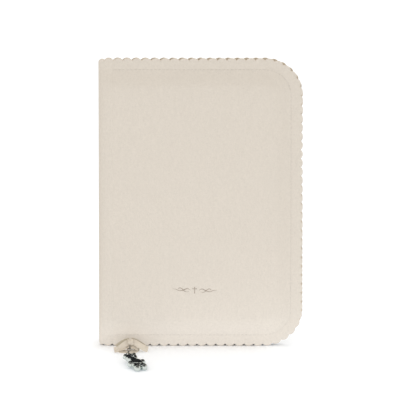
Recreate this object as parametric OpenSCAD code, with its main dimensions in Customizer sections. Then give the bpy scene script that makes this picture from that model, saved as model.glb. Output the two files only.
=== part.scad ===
// Zip-around prayer book: a bound text block inside a soft two-panel cover with a
// scalloped edge, closed by a zip whose pull is a ribbon bow with a chain and a bear charm.
// Frame: X runs from the spine to the fore-edge, Y from the front cover (-Y) to the back
// cover (+Y), Z from tail to head. The origin is the foot of the spine at mid-thickness.

/* [Book] */
// Width over the tips of the fore-edge scallops
cover_w = 168; // [150:1:180]
// Height over the tips of the head and tail scallops
cover_h = 250; // [230:1:265]
// Thickness over the covers in their flat middle
book_t = 15; // [15:0.5:18]
// How far the back cover's head edge sits below the front cover's
back_head_drop = 0.8; // [0:0.1:1.5]

/* [Cover rim] */
// Thickness over the two flanges at the rim
rim_t = 6.6; // [6.6:0.1:8]
// Width of the flat flange, up to the stitch line and the zip tape
flange_w = 10; // [9:0.5:12]
// Width of the slope from the flange up to the flat middle
slope_w = 14; // [10:1:18]
// Corner radius over the tips
corner_r = 32; // [20:1:40]

/* [Scallops] */
// Depth from tip to notch
scallop_depth = 2; // [1:0.1:2.5]
// Number of scallops round the front cover
front_scallops = 70; // [60:1:80]
// Number of scallops round the back cover
back_scallops = 72; // [60:1:80]
// Distance of the first head notch from the spine
head_notch_x = 4.5; // [3:0.5:6]
// Distance of the last tail notch from the spine
tail_notch_x = 3; // [3:0.5:6]

/* [Layers] */
// Leatherette skin
skin_t = 1.0; // [0.8:0.1:1.0]
// Cover boards
board_t = 1.2; // [0.8:0.1:1.2]
// Fabric lining
lining_t = 0.4; // [0.3:0.1:0.4]

/* [Spine] */
// Depth of the spine's rounded roll, from its back to the covers
spine_d = 10; // [9:0.5:12]
// Thickness of the roll at the head and the tail
spine_end_t = 6.6; // [6.6:0.1:12]

/* [Text block] */
// Distance of the page edges inside the cover's tips
page_inset = 27; // [27:1:30]
// Thickness of the whole text block
block_t = 9; // [8:0.5:9]
// Number of sewn sections
sections = 8; // [8:1:8]
// Thickness of one turning leaf
leaf_t = 0.25; // [0.2:0.05:0.3]
// Corner radius of the pages at the fore-edge
page_r = 6; // [3:1:10]

/* [Zip] */
// Which tail notch the pull hangs through, counted from the spine
pull_notch = 3; // [3:1:6]
// Length of the slider
slider_l = 8; // [6:0.5:8]
// Width of the slider
slider_w = 2.6; // [2:0.1:2.6]

/* [Bow and charm] */
// Width of the ribbon
ribbon_w = 4.5; // [3:0.5:6]
// Thickness of the ribbon
ribbon_t = 0.3; // [0.2:0.1:0.4]
// Thickness of the bear
bear_t = 4.8; // [4:0.2:5]
// Turn of the bear from straight ahead
bear_turn = 26; // [20:1:30]
// Tilt of the bear, head end up
bear_tilt = 9; // [5:1:12]

/* [Hidden] */
$fn = 48;

skin_colour = [0.86, 0.82, 0.77];
lining_colour = [0.80, 0.74, 0.66];
board_colour = [0.55, 0.50, 0.44];
paper_colour = [0.95, 0.93, 0.87];
ribbon_colour = [0.86, 0.79, 0.68];
zip_colour = [0.78, 0.70, 0.60];
chrome_colour = [0.80, 0.81, 0.82];
mull_colour = [0.90, 0.89, 0.85];
silk_colour = [0.78, 0.66, 0.48];

half_t = book_t / 2;
rim_y = rim_t / 2;
hinge_gap = 1;                        // between the spine roll and a cover
cover_x = spine_d + hinge_gap;        // where a cover begins
sew = 0.1;                            // overlap of a flange with its pan
clear = 1;                            // how far a cutter reaches past what it cuts
slab = 0.02;                          // thin slab at either end of a hull
flat_inset = flange_w + slope_w;      // where a cover's flat middle begins
skin_in = half_t - skin_t;            // inner face of the skin in the flat middle
board_in = skin_in - board_t;         // inner face of the board
lining_in = board_in - lining_t;      // inner face of the lining
rim_in = rim_y - skin_t - lining_t;   // inner face of the lining at the flange
lining_edge = scallop_depth + 1.2;    // the lining stops just inside the notches
lining_back = 0.4;                    // the lining starts this far behind the cover's edge
lining_lap = 2;                       // the lining's slope ends past the board's edge
board_play = [0.5, 1];                // board to the cover's edge, and to the slope

// Path of the notches: along the head, down the fore-edge and back along the tail.
notch_r = corner_r - scallop_depth;
notch_top = cover_h - scallop_depth;
notch_fore = cover_w - scallop_depth;
head_run = notch_fore - notch_r - head_notch_x;
fore_run = notch_top - scallop_depth - 2 * notch_r;
tail_run = notch_fore - notch_r - tail_notch_x;
quarter = PI * notch_r / 2;
path_l = head_run + fore_run + tail_run + 2 * quarter;
front_pitch = path_l / front_scallops;

function on_arc(cx, cz, from, s) = let (a = from - s / quarter * 90)
    [cx + notch_r * cos(a), cz + notch_r * sin(a), a];
// Point of the notch path at length s, with the outward direction there
function path_at(s) =
    s < head_run ? [head_notch_x + s, notch_top, 90] :
    s < head_run + quarter ?
        on_arc(notch_fore - notch_r, notch_top - notch_r, 90, s - head_run) :
    s < head_run + quarter + fore_run ?
        [notch_fore, notch_top - notch_r - (s - head_run - quarter), 0] :
    s < head_run + 2 * quarter + fore_run ?
        on_arc(notch_fore - notch_r, scallop_depth + notch_r, 0, s - head_run - quarter - fore_run) :
    [notch_fore - notch_r - (s - head_run - 2 * quarter - fore_run), scallop_depth, -90];

least_r = 3;
// A cover's outline, moved in by inset and open towards the spine at x0
module panel(inset, x0) {
    r = max(corner_r - inset, least_r);
    far = cover_w - inset;
    translate([x0, inset]) square([far - r - x0, cover_h - 2 * inset]);
    translate([x0, inset + r]) square([far - x0, cover_h - 2 * (inset + r)]);
    for (z = [inset + r, cover_h - inset - r]) translate([far - r, z]) circle(r);
}

// A cover's outline with its row of scallops
module scalloped(count, x0) {
    pitch = path_l / count;
    r = (pitch * pitch / 4 + scallop_depth * scallop_depth) / (2 * scallop_depth);
    intersection() {
        union() {
            panel(scallop_depth, x0);
            for (i = [0:count - 1]) {
                p = path_at((i + 0.5) * pitch);
                back = r - scallop_depth;
                translate([p[0] - back * cos(p[2]), p[1] - back * sin(p[2])]) circle(r, $fn = 32);
            }
        }
        translate([x0, -clear]) square([cover_w, cover_h + 2 * clear]);
    }
}

// A flat sheet in the front half, from |y| = outer in to |y| = inner
module sheet(outer, inner)
    translate([0, -inner, 0]) rotate([90, 0, 0]) linear_extrude(outer - inner) children();

module pan_block(low, high, low_inset, high_inset, x0) hull() {
    sheet(low, low - slab) panel(low_inset, x0);
    sheet(high, high - slab) panel(high_inset, x0);
}

// A shallow pan of one thickness, open towards the text block and the spine
module pan(low, high, high_inset, t, x0) difference() {
    pan_block(low, high, flange_w, high_inset, x0);
    pan_block(low - t, high - t, flange_w, high_inset, x0 - clear);
}

module cover_skin(count) {
    pan(rim_y, half_t, flat_inset, skin_t, cover_x);
    sheet(rim_y, rim_y - skin_t) difference() {
        scalloped(count, cover_x);
        panel(flange_w + sew, cover_x - clear);
    }
}

module cover_lining() {
    x0 = cover_x + lining_back;
    low = rim_y - skin_t;
    pan(low, board_in, flat_inset + lining_lap, lining_t, x0);
    sheet(low, low - lining_t) difference() {
        panel(lining_edge, x0);
        panel(flange_w + sew, x0 - clear);
    }
}

module cover_board()
    sheet(skin_in, board_in) panel(flat_inset + board_play[1], cover_x + board_play[0]);

// Zip tape: one leg sewn flat under the lining's edge, the other standing towards the coil
tape_x = 14;                          // both tapes start this far from the spine
tape_t = 0.3;
tape_in = 5.9;                        // the standing leg's distance from the tips
tape_lap = 0.2;                       // how far the flat leg stops short of the slope
coil_gap = 0.55;                      // from mid-thickness to either coil
coil_w = 1;                           // how far a coil stands out towards the rim
coil_t = 0.8;
module cover_tape() {
    sheet(rim_in, rim_in - tape_t) difference() {
        panel(tape_in, tape_x);
        panel(flange_w - tape_lap, tape_x - clear);
    }
    sheet(rim_in, coil_gap) difference() {
        panel(tape_in, tape_x);
        panel(tape_in + tape_t, tape_x - clear);
    }
}

module cover_coil() sheet(coil_gap + coil_t, coil_gap) difference() {
    panel(tape_in - coil_w, tape_x);
    panel(tape_in, tape_x - clear);
}

// Half an elliptical disc, round towards the spine's back
module half_oval(depth, half, z, h)
    translate([spine_d, 0, z]) linear_extrude(h) intersection() {
        scale([depth / half, 1]) circle(half);
        translate([-depth, -half]) square([depth, 2 * half]);
    }

// The spine's roll filled in, shrunk all round by t: it narrows from its middle to both ends
module roll(t, over) hull() {
    grow = flange_w + slope_w;
    half_oval(spine_d - t, spine_end_t / 2 - t, -over, flange_w + over);
    half_oval(spine_d - t, half_t - t, grow, cover_h - 2 * grow);
    half_oval(spine_d - t, spine_end_t / 2 - t, cover_h - flange_w, flange_w + over);
}

module front_cover_skin() color(skin_colour) cover_skin(front_scallops);
module back_cover_skin() color(skin_colour) intersection() {
    mirror([0, 1, 0]) cover_skin(back_scallops);
    cube([cover_w + clear, half_t + clear, cover_h - back_head_drop]);
}
module spine_skin() color(skin_colour) difference() {
    roll(0, 0);
    roll(skin_t, clear);
}
spine_lining_inset = 2;
module spine_lining() color(lining_colour) difference() {
    intersection() {
        roll(skin_t, 0);
        translate([0, -half_t, spine_lining_inset])
            cube([spine_d, book_t, cover_h - 2 * spine_lining_inset]);
    }
    roll(skin_t + lining_t, clear);
}
module front_board() color(board_colour) cover_board();
module back_board() color(board_colour) mirror([0, 1, 0]) cover_board();
module front_lining() color(lining_colour) cover_lining();
module back_lining() color(lining_colour) mirror([0, 1, 0]) cover_lining();
module front_zip_tape() color(zip_colour) cover_tape();
module back_zip_tape() color(zip_colour) mirror([0, 1, 0]) cover_tape();
module front_zip_coil() color(zip_colour) cover_coil();
module back_zip_coil() color(zip_colour) mirror([0, 1, 0]) cover_coil();

stiffener = [0.7, 5.2];               // thickness and width of the strip inside the roll
stiffener_x = 2.4;
stiffener_inset = page_inset + 1;
module spine_stiffener() color(board_colour)
    translate([stiffener_x, -stiffener[1] / 2, stiffener_inset])
        cube([stiffener[0], stiffener[1], cover_h - 2 * stiffener_inset]);

// Text block
back_x = 6;                          // folds of the sections
leaf_x = cover_x;                    // line that the innermost turning leaf bends on
fore_x = cover_w - page_inset;
page_h = cover_h - 2 * page_inset;
leaf_play = 0.05;                     // air on either side of a leaf
section_play = 0.04;                  // air between two sections
leaf_step = leaf_t + leaf_play;
turning = 3;                          // leaves that turn on their own
turning_t = turning * leaf_step + leaf_play;
section_step = (block_t - turning_t) / sections;

// One sheet or section, from |y| = outer in to inner on the front side
module page(outer, inner, x0) sheet(outer, inner) {
    far = fore_x - page_r;
    translate([x0, page_inset]) square([far - x0, page_h]);
    translate([x0, page_inset + page_r]) square([fore_x - x0, page_h - 2 * page_r]);
    for (z = [page_inset + page_r, page_inset + page_h - page_r])
        translate([far, z]) circle(page_r);
}

module leaf(i) {
    y = block_t / 2 - (i - 1) * leaf_step;
    color(paper_colour) page(y, y - leaf_t, leaf_x - (turning - i) * leaf_step);
}
module leaf_1() leaf(1);
module leaf_2() leaf(2);
module leaf_3() leaf(3);

module section(i) {
    y = block_t / 2 - turning_t - (i - 1) * section_step;
    color(paper_colour) page(y, y - section_step + section_play, back_x);
}
module section_1() section(1);
module section_2() section(2);
module section_3() section(3);
module section_4() section(4);
module section_5() section(5);
module section_6() section(6);
module section_7() section(7);
module section_8() section(8);

endpaper_t = 0.15;
pastedown_x = cover_x + 1.5;
module front_pastedown() color(paper_colour) page(lining_in, lining_in - endpaper_t, pastedown_x);
module back_pastedown() color(paper_colour) mirror([0, 1, 0]) front_pastedown();
module flyleaf()
    page(lining_in - endpaper_t - leaf_play, block_t / 2 + leaf_play, leaf_x - turning * leaf_step);
module front_flyleaf() color(paper_colour) flyleaf();
module back_flyleaf() color(paper_colour) mirror([0, 1, 0]) flyleaf();

// Cloth glued over the folds, and the bands at its ends
mull_t = 0.4;
mull_gap = 0.1;                       // from the folds, and from the block's two faces
mull_inset = 4;                       // from the head and tail of the pages
module mull() color(mull_colour)
    translate([back_x - mull_t - mull_gap, -block_t / 2 + mull_gap, page_inset + mull_inset])
        cube([mull_t, block_t - 2 * mull_gap, page_h - 2 * mull_inset]);
band_d = 1.6;
band_gap = 0.05;                      // from the pages
band_short = 1.2;                     // how much shorter than the block is thick
module band(z) color(silk_colour)
    translate([back_x, block_t / 2 - mull_gap, z]) rotate([90, 0, 0])
        cylinder(d = band_d, h = block_t - band_short);
module head_band() band(cover_h - page_inset + band_d / 2 + band_gap);
module tail_band() band(page_inset - band_d / 2 - band_gap);

// Ribbon marker between the turning leaves and the first section, sticking out at the tail
marker_x = 24;
marker_w = 5;
marker_t = 0.06;
marker_out = 5;                       // past the tail of the pages
marker_in = 1;                        // past the head, where it is glued to the spine
marker_y = block_t / 2 - turning * leaf_step + marker_t / 2;
module ribbon_marker() color(silk_colour)
    translate([marker_x, -marker_y, page_inset - marker_out])
        cube([marker_w, marker_t, page_h + marker_out + marker_in]);

// Slider: two plates joined by a post between the coils, with a bail under the outer plate
pull_x = tail_notch_x + pull_notch * front_pitch;
slider_x = pull_x - slider_l / 2;
plate_t = 1.1;
outer_z = 3.4;                        // foot of the plate outside the coils
inner_z = 6.6;                        // foot of the plate inside the coils
post = [3, 0.6];
post_x = 1;                           // from the slider's end
into = 0.5;                           // how far a post or wire runs into a plate
bail_w = 5.6;
bail_wire = 0.7;
bar_z = 0.9;                          // axis that the ribbon's end turns on
module zip_slider() color(chrome_colour) {
    for (z = [outer_z, inner_z])
        translate([slider_x, -slider_w / 2, z]) cube([slider_l, slider_w, plate_t]);
    translate([slider_x + post_x, -post[1] / 2, outer_z + into])
        cube([post[0], post[1], inner_z - outer_z]);
    translate([pull_x - bail_w / 2, 0, bar_z]) rotate([0, 90, 0]) cylinder(d = bail_wire, h = bail_w);
    for (side = [-1, 1]) translate([pull_x + side * (bail_w - bail_wire) / 2, 0, bar_z])
        cylinder(d = bail_wire, h = outer_z + into - bar_z);
}

// Ribbon: one length, looped round the bail, that runs out along the floor to a bow
strand_w = 3.2;
strand_z = 0.15;
bar_play = 0.3;                       // the ribbon's loop is this much wider than the bail's wire
loop_r = bar_z - strand_z;
knot = [25.7, -19.8, 6.6];
knot_size = [4.8, 3.6, 4.8];
lobe_d = 2.6;
lobe_up = 1.5;                        // the lobes leave the knot above its middle
left_lobe = [-9.5, -1.9, -3];
right_lobe = [10, -1.9, -3];
left_tail = [12.5, -22.3];
right_tail = [39, -21.1];
tail_w = 0.9 * ribbon_w;
end_t = 0.2;                          // length of the cut end of a strip
module strip(a, b, w, t) hull() {
    translate(a) cube([w, end_t, t], center = true);
    translate(b) cube([w, end_t, t], center = true);
}
module lobe(a, b, depth, wide) hull() {
    translate(a) cube([1, depth / 2, wide], center = true);
    translate(b) rotate([90, 0, 0]) cylinder(d = wide, h = depth, center = true, $fn = 24);
}
module ribbon_bow() color(ribbon_colour) {
    strand_end = knot[1] + knot_size[1];
    translate([pull_x - strand_w / 2, 0, bar_z]) rotate([0, 90, 0]) difference() {
        cylinder(r = loop_r, h = strand_w);
        translate([0, 0, -clear]) cylinder(d = bail_wire + bar_play, h = strand_w + 2 * clear);
    }
    translate([pull_x - strand_w / 2, strand_end, strand_z]) cube([strand_w, -strand_end, ribbon_t]);
    strip([pull_x, strand_end, strand_z + ribbon_t / 2], knot, strand_w, 2 * ribbon_t);
    for (end = [left_lobe, right_lobe])
        lobe(knot + [sign(end[0]), 0, lobe_up], knot + end, lobe_d, ribbon_w);
    for (tail = [left_tail, right_tail])
        strip(knot - [0, 1, 1], [tail[0], tail[1], strand_z + ribbon_t], tail_w, 2 * ribbon_t);
    translate(knot - knot_size / 2) cube(knot_size);
}

// Bear: head, ears, body, arms and legs as one flat casting with an eyelet above the head
wire = 0.8;
head_at = [26.8, -47.5, 3.35];
head_r = 5.2;
ear = [4, 3.6, 2];                    // across, along and radius
body = [0, -10.8, 5.4];
arm = [5.6, -9.8, 2.4];
leg = [3, -18.3, 2.8];
neck_w = 4.8;
hips = [8, 6];
eyelet_r = 1.6;
eyelet_at = head_r + 1.2;
module disc(part) translate([part[0], part[1]]) circle(part[2]);
module bear_outline() {
    circle(head_r);
    for (side = [0, 1], limb = [ear, arm, leg]) mirror([side, 0]) disc(limb);
    disc(body);
    translate([-neck_w / 2, body[1]]) square([neck_w, -body[1]]);
    translate([-hips[0] / 2, leg[1]]) square(hips);
}
module bear_charm() color(chrome_colour)
    translate(head_at) rotate([bear_tilt, 0, bear_turn]) {
        linear_extrude(bear_t) bear_outline();
        translate([0, eyelet_at, bear_t / 2])
            rotate_extrude() translate([eyelet_r, 0]) circle(d = wire, $fn = 16);
    }

// Chain from the knot to the eyelet: oval links turned by a quarter from one to the next
links = 3;
link_w = 3.8;
link_play = 0.3;
eyelet_play = 0.1;                    // from the last link's end to the middle of the eyelet
chain_from = [-0.2, -0.6, -0.6];      // from the knot's middle
eyelet_y = eyelet_at * cos(bear_tilt) - bear_t / 2 * sin(bear_tilt);
eyelet = head_at + [-eyelet_y * sin(bear_turn), eyelet_y * cos(bear_turn),
    eyelet_at * sin(bear_tilt) + bear_t / 2 * cos(bear_tilt)];
chain_end = eyelet + [0, eyelet_play, 0];
chain_start = knot + chain_from;
run = chain_end - chain_start;
chain_l = norm(run);
link_l = (chain_l + (links - 1) * (2 * wire + link_play)) / links;
link_step = link_l - 2 * wire - link_play;
module oval(r, straight) {
    square([2 * r, straight], center = true);
    for (end = [-1, 1]) translate([0, end * straight / 2]) circle(r);
}
module link() linear_extrude(wire, center = true) difference() {
    oval(link_w / 2, link_l - link_w);
    oval(link_w / 2 - wire, link_l - link_w);
}
module charm_chain() color(chrome_colour)
    translate(chain_start) rotate([-asin(run[2] / chain_l), 0, atan2(run[0], -run[1])])
        for (i = [0:links - 1]) translate([0, -link_l / 2 - i * link_step, 0])
            rotate([0, 90 * ((i + 1) % 2), 0]) link();

front_cover_skin();
back_cover_skin();
spine_skin();
front_board();
back_board();
spine_stiffener();
front_lining();
back_lining();
spine_lining();
front_zip_tape();
back_zip_tape();
front_zip_coil();
back_zip_coil();
zip_slider();
ribbon_bow();
charm_chain();
bear_charm();
front_pastedown();
back_pastedown();
front_flyleaf();
back_flyleaf();
leaf_1();
leaf_2();
leaf_3();
section_1();
section_2();
section_3();
section_4();
section_5();
section_6();
section_7();
section_8();
mull();
head_band();
tail_band();
ribbon_marker();
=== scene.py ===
"""Looks of the zip-around prayer book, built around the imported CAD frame.

Lengths are in millimetres until mesh_object() turns them into metres.
Frame: X from the spine to the fore-edge, -Y the front cover, +Y the back cover, Z from tail to head.
"""

import math

import bmesh
import bpy
import numpy as np
from mathutils import Matrix, Vector, noise
from mathutils.geometry import delaunay_2d_cdt


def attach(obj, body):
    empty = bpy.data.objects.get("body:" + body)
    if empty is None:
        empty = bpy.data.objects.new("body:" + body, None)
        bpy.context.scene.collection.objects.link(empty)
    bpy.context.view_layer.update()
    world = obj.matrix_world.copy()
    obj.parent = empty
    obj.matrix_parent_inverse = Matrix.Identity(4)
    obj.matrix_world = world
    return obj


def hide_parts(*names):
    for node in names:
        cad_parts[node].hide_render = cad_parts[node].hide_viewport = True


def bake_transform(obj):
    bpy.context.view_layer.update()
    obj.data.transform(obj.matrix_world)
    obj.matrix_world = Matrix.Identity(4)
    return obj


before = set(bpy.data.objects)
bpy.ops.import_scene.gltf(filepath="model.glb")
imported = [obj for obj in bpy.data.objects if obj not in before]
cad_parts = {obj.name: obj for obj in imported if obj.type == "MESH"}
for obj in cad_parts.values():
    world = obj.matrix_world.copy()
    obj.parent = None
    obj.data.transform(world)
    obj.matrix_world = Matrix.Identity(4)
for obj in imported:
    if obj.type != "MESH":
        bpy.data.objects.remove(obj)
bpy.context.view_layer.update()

MM = 0.001

# Sizes that the part's source has too
COVER_W, COVER_H = 168.0, 250.0
HALF_T, RIM_Y = 7.5, 3.3
FLANGE_W, SLOPE_W = 10.0, 14.0
CORNER_R = 32.0
SCALLOP_DEPTH = 2.0
FRONT_SCALLOPS, BACK_SCALLOPS = 70, 72
HEAD_NOTCH_X, TAIL_NOTCH_X = 4.5, 3.0
SKIN_T, BOARD_T, LINING_T = 1.0, 1.2, 0.4
SPINE_D = 10.0
LINING_INSET, LINING_U = 3.2, 11.4  # the lining's edge at the rim and beside the fold
TAPE_X = 14.0                       # where the zip begins
PULL_X, BAR_Z, BAIL_WIRE = 26.346, 0.9, 0.7
BEAR_AT, BEAR_TILT, BEAR_TURN, BEAR_T = Vector((26.8, -47.5, 3.35)), 9.0, 26.0, 4.8
EYELET_Y, EYELET_R, WIRE = 6.4, 1.6, 0.8

# The skin as the photo shows it, and the density of the points that carry it
BULGE_START, BULGE_W = 6.5, 19.0    # a softer rise over the board's edge than the part's
OUTER_PLAY = 0.15                   # keeps swells and ripples inside the cover's thickness
HEAD_DROP = 1.1                     # the back cover's head edge lies this much lower
EDGE_ROUND = 0.18                   # how far the leatherette's cut edge draws in on its outer face
ROLL_L = 12.11                      # from the hinge line round to the spine's middle line
SPINE_U = SPINE_D - ROLL_L          # the middle line of the spine in the flat pattern
ROLL_RISE, ROLL_DROP = 1.2, 1.4     # how far the roll's tail and head edges draw in
FOLD_U = 11.2
RIM_GAP, ROW_GAP, COLUMN_GAP = 2.3, 4.2, 3.4
GRID_INSET = 30.0                   # inside this the pattern's points stand in a grid

# Stitches, zip, ribbon and chain
STITCH_INSET, STITCH_START, STITCH_PITCH = 9.7, 12.0, 3.3
COIL_INSET, COIL_Y = 5.4, 0.95
STRAND_R = 0.62                     # of the ribbon's middle line where it goes round the bail's bar
KNOT = Vector((25.9, -18.6, 8.4))
CHAIN_START = Vector((25.5, -20.4, 6.0))


# ---------------------------------------------------------------- camera and studio

def make_camera():
    """A long lens straight on to the front cover, looking down by about 19 degrees."""
    elevation = math.radians(18.8)
    frame_w, distance, sensor = 0.3294, 10.0, 36.0
    aim = Vector((0.0834, -0.0033, 0.12744))
    back = Vector((0, -math.cos(elevation), math.sin(elevation)))
    data = bpy.data.cameras.new("camera")
    data.sensor_width = sensor
    data.lens = sensor * distance / frame_w
    data.clip_start, data.clip_end = 1, 100
    camera = bpy.data.objects.new("camera", data)
    camera.location = aim + back * distance
    camera.rotation_euler = (-back).to_track_quat("-Z", "Y").to_euler()
    bpy.context.scene.collection.objects.link(camera)
    bpy.context.scene.camera = camera


def area_light(name, at, aim, size, power, colour):
    data = bpy.data.lights.new(name, "AREA")
    data.shape = "RECTANGLE"
    data.size, data.size_y = size
    data.energy = power
    data.color = colour
    light = bpy.data.objects.new(name, data)
    light.location = at
    light.rotation_euler = (Vector(aim) - Vector(at)).to_track_quat("-Z", "Y").to_euler()
    light.visible_camera = False
    bpy.context.scene.collection.objects.link(light)
    return light


def make_world(scene):
    scene.view_settings.view_transform = "Standard"
    world = bpy.data.worlds.new("studio")
    world.use_nodes = True
    background = world.node_tree.nodes["Background"]
    background.inputs["Color"].default_value = (1.0, 0.988, 0.968, 1)
    background.inputs["Strength"].default_value = 1.01
    scene.world = world


def make_lights():
    """Two large soft boxes; a low strip, a reflector on the floor and a fill behind the bow lift the tail."""
    area_light("key", (-0.5, -1.1, 1.5), (0.08, 0, 0.1), (1.6, 1.2), 2.0, (1.0, 0.96, 0.90))
    area_light("top", (0.2, 0.3, 1.8), (0.08, 0, 0.0), (2.2, 1.6), 3.0, (1.0, 0.985, 0.96))
    low = area_light("low", (0.09, -0.50, 0.06), (0.09, 0, 0.04), (1.3, 0.11), 1.0, (0.78, 0.87, 1.0))
    under = (0.11, -0.041)
    bounce = area_light("bounce", (*under, 0.0004), (*under, 1), (0.28, 0.075), 0.043, (0.78, 0.86, 1.0))
    bow_x, bow_z = 0.027, 0.0115
    before, behind = (bow_x, -0.0105, bow_z), (bow_x, 0, bow_z)
    fill = area_light("bow_fill", before, behind, (0.026, 0.008), 0.00019, (1, 1, 1))
    for light in (low, bounce, fill):
        light.visible_glossy = False


def staged(name, corners, mat):
    """A flat four-sided piece of the stage."""
    made = mesh_object(name, corners, [(0, 1, 2, 3)], [mat], smooth=False)
    return made


def make_card(name, corners, mat):
    """A card that only reflections see."""
    card = staged(name, corners, mat)
    card.visible_camera = card.visible_diffuse = card.visible_shadow = False
    card.visible_transmission = card.visible_volume_scatter = False


def make_stage():
    """The floor; a dark ceiling with a window in it for the key light; a dark card over the charm."""
    far = 6e3
    staged("floor", [(-far, -far, 0), (far, -far, 0), (far, far, 0), (-far, far, 0)], floor_material())
    black = plain_material("dark_card", (0.01, 0.01, 0.012), 0.9)
    left, right, front, back = -420, 420, -560, 0
    window_left, window_right, window_front, window_back = -170, -60, -400, -250
    low, high = 340, 400
    spans = ((left, window_left, front, back), (window_right, right, front, back),
             (window_left, window_right, front, window_front), (window_left, window_right, window_back, back))
    for i, (x0, x1, y0, y1) in enumerate(spans):
        make_card(f"dark_card_{i}", [(x0, y0, low), (x1, y0, low), (x1, y1, high), (x0, y1, high)], black)
    make_card("charm_card", [(-6, -37, 10), (56, -37, 10), (56, -48, 56), (-6, -48, 56)], black)


# ---------------------------------------------------------------- node helpers

def plain_material(name, colour, roughness, metallic=0.0):
    mat = bpy.data.materials.new(name)
    mat.use_nodes = True
    mat.diffuse_color = (*colour, 1)
    shader = mat.node_tree.nodes["Principled BSDF"]
    shader.inputs["Base Color"].default_value = (*colour, 1)
    shader.inputs["Roughness"].default_value = roughness
    shader.inputs["Metallic"].default_value = metallic
    return mat


class Graph:
    """Short calls for the node trees of the materials below."""

    def __init__(self, mat):
        self.tree = mat.node_tree
        self.shader = self.tree.nodes["Principled BSDF"]
        self.place = self.tree.nodes.new("ShaderNodeTexCoord").outputs["Object"]

    def node(self, kind, inputs=None, **settings):
        made = self.tree.nodes.new(kind)
        for key, value in settings.items():
            setattr(made, key, value)
        for key, value in (inputs or {}).items():
            if isinstance(value, bpy.types.NodeSocket):
                self.tree.links.new(value, made.inputs[key])
            else:
                made.inputs[key].default_value = value
        return made

    def stretched(self, scale):
        """Object coordinates, with a scale in features per metre for each axis."""
        return self.node("ShaderNodeMapping", {"Vector": self.place, "Scale": scale}).outputs["Vector"]

    def noise(self, scale, detail=2.0, roughness=0.5):
        """Noise from 0 to 1; scale is features per metre, one number or one for each axis."""
        if isinstance(scale, (int, float)):
            scale = (scale,) * 3
        return self.node("ShaderNodeTexNoise", {"Vector": self.stretched(scale), "Scale": 1.0,
                                                "Detail": detail, "Roughness": roughness}).outputs["Fac"]

    def cells(self, scale, feature="F1"):
        return self.node("ShaderNodeTexVoronoi", {"Vector": self.stretched((scale,) * 3), "Scale": 1.0},
                         feature=feature).outputs["Distance"]

    def waves(self, period, direction="X", distortion=0.0):
        """Bands with a period in millimetres."""
        scale = 2 * math.pi / 20 / (period * MM)
        return self.node("ShaderNodeTexWave", {"Vector": self.place, "Scale": scale, "Distortion": distortion,
                                               "Detail": 1.0}, bands_direction=direction).outputs["Fac"]

    def math(self, operation, a, b=0.0):
        return self.node("ShaderNodeMath", {0: a, 1: b}, operation=operation).outputs[0]

    def between(self, value, low, high, to_low=0.0, to_high=1.0):
        return self.node("ShaderNodeMapRange", {"Value": value, "From Min": low, "From Max": high,
                                                "To Min": to_low, "To Max": to_high}).outputs["Result"]

    def mix(self, factor, a, b):
        made = self.tree.nodes.new("ShaderNodeMix")
        made.data_type = "RGBA"
        for key, value in ((0, factor), (6, a), (7, b)):
            if isinstance(value, bpy.types.NodeSocket):
                self.tree.links.new(value, made.inputs[key])
            elif key == 0:
                made.inputs[key].default_value = value
            else:
                made.inputs[key].default_value = (*value, 1)
        return made.outputs[2]

    def set(self, socket, value):
        self.tree.links.new(value, self.shader.inputs[socket])

    def bump(self, height, depth_mm, strength=1.0):
        made = self.node("ShaderNodeBump", {"Height": height, "Strength": strength,
                                            "Distance": depth_mm * MM})
        self.set("Normal", made.outputs["Normal"])


def shade(colour, factor):
    return tuple(c * factor for c in colour)


# ---------------------------------------------------------------- materials

CREAM = (0.573, 0.514, 0.441)
BACKING = (0.68, 0.60, 0.495)
PAPER = (0.86, 0.83, 0.74)
MARKER_SILK = (0.56, 0.40, 0.22)


def floor_material():
    """Pale paper with a faint painted glow that fades out near the book, painting a soft contact shadow where
    the tail shades it most.
    """
    mat = plain_material("floor", (0.93, 0.93, 0.935), 0.7)
    g = Graph(mat)
    x, y = (g.node("ShaderNodeSeparateXYZ", {"Vector": g.place}).outputs[axis] for axis in "XY")
    half = (COVER_W - CORNER_R - 10) / 2 * MM      # of the tail's straight stretch, short of the corner
    from_middle = g.math("ABSOLUTE", g.math("SUBTRACT", x, half))
    beside = g.math("MAXIMUM", g.math("SUBTRACT", from_middle, half), 0.0)
    before = g.math("MAXIMUM", g.math("SUBTRACT", g.math("ABSOLUTE", y), RIM_Y * MM), 0.0)
    squares = [g.math("MULTIPLY", part, part) for part in (beside, before)]
    away, reach = g.math("SQRT", g.math("ADD", *squares)), 0.016
    # painted light: the floor glows bluish away from the book and not at all at its footprint, a painted
    # contact shadow
    g.set("Emission Color", g.mix(g.between(away, 0.0, reach), (0, 0, 0), (0.7, 0.85, 1.0)))
    g.shader.inputs["Emission Strength"].default_value = 0.14
    g.set("Roughness", g.between(g.noise(300), 0.3, 0.7, 0.62, 0.75))
    g.shader.inputs["Specular IOR Level"].default_value = 0.2
    return mat


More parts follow.
